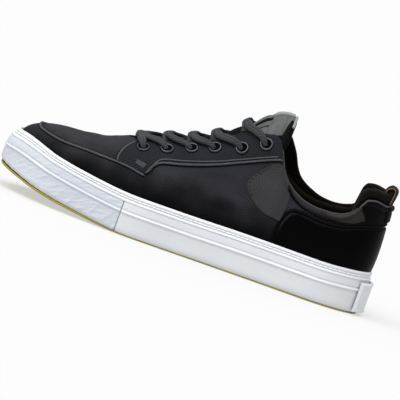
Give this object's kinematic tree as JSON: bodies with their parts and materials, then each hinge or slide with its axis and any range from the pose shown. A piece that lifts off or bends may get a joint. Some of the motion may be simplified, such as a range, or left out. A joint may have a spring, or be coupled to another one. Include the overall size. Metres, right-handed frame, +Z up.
{
  "type": "skateboarding shoe",
  "caption": "Left low-cut skateboarding shoe with a black woven upper, smooth dark overlays, grey padded tongue, flat laces and a white stepped cup sole on an olive outsole.",
  "frame": {"origin": "on the floor, midway along the shoe and midway between the sole's farthest outer and inner points", "axes": "+X from toe to heel, +Y to the inner (big toe) side, +Z up"},
  "size_m": [0.2978, 0.1104, 0.1239],
  "materials": {
    "white_rubber": "satin moulded rubber",
    "textured_white_rubber": "matt rubber with a crinkled face",
    "olive_rubber": "matt rubber",
    "black_twill": "matt fine twill",
    "charcoal_canvas": "matt canvas",
    "smooth_black_leather": "smooth, half gloss",
    "grey_leather": "smooth, satin",
    "grey_piping": "satin edge piping",
    "brown_lining": "matt spacer mesh",
    "lace_cord": "flat woven cord",
    "gunmetal": "dark satin metal",
    "black_webbing": "ribbed webbing",
    "insole_cloth": "matt cloth on foam"
  },
  "bodies": {
    "root": {"outsole": "olive_rubber", "cupsole": "white_rubber", "toe_bumper": "textured_white_rubber", "heel_plate": "white_rubber", "insole": "insole_cloth", "upper": "black_twill", "tongue": "grey_leather", "collar_lining": "brown_lining", "eyestay_outer": "charcoal_canvas", "eyestay_inner": "charcoal_canvas", "heel_counter": "smooth_black_leather", "ankle_patch_outer": "smooth_black_leather", "ankle_patch_inner": "smooth_black_leather", "toe_piping": "grey_piping", "pull_tab": "black_webbing", "lace_bar": "lace_cord", "lace_crossing_1": "lace_cord", "lace_crossing_2": "lace_cord", "lace_crossing_3": "lace_cord", "lace_crossing_4": "lace_cord", "lace_crossing_5": "lace_cord", "eyelet_outer_1": "gunmetal", "eyelet_outer_2": "gunmetal", "eyelet_outer_3": "gunmetal", "eyelet_outer_4": "gunmetal", "eyelet_outer_5": "gunmetal", "eyelet_outer_6": "gunmetal", "eyelet_inner_1": "gunmetal", "eyelet_inner_2": "gunmetal", "eyelet_inner_3": "gunmetal", "eyelet_inner_4": "gunmetal", "eyelet_inner_5": "gunmetal", "eyelet_inner_6": "gunmetal"}
  },
  "joints": []
}
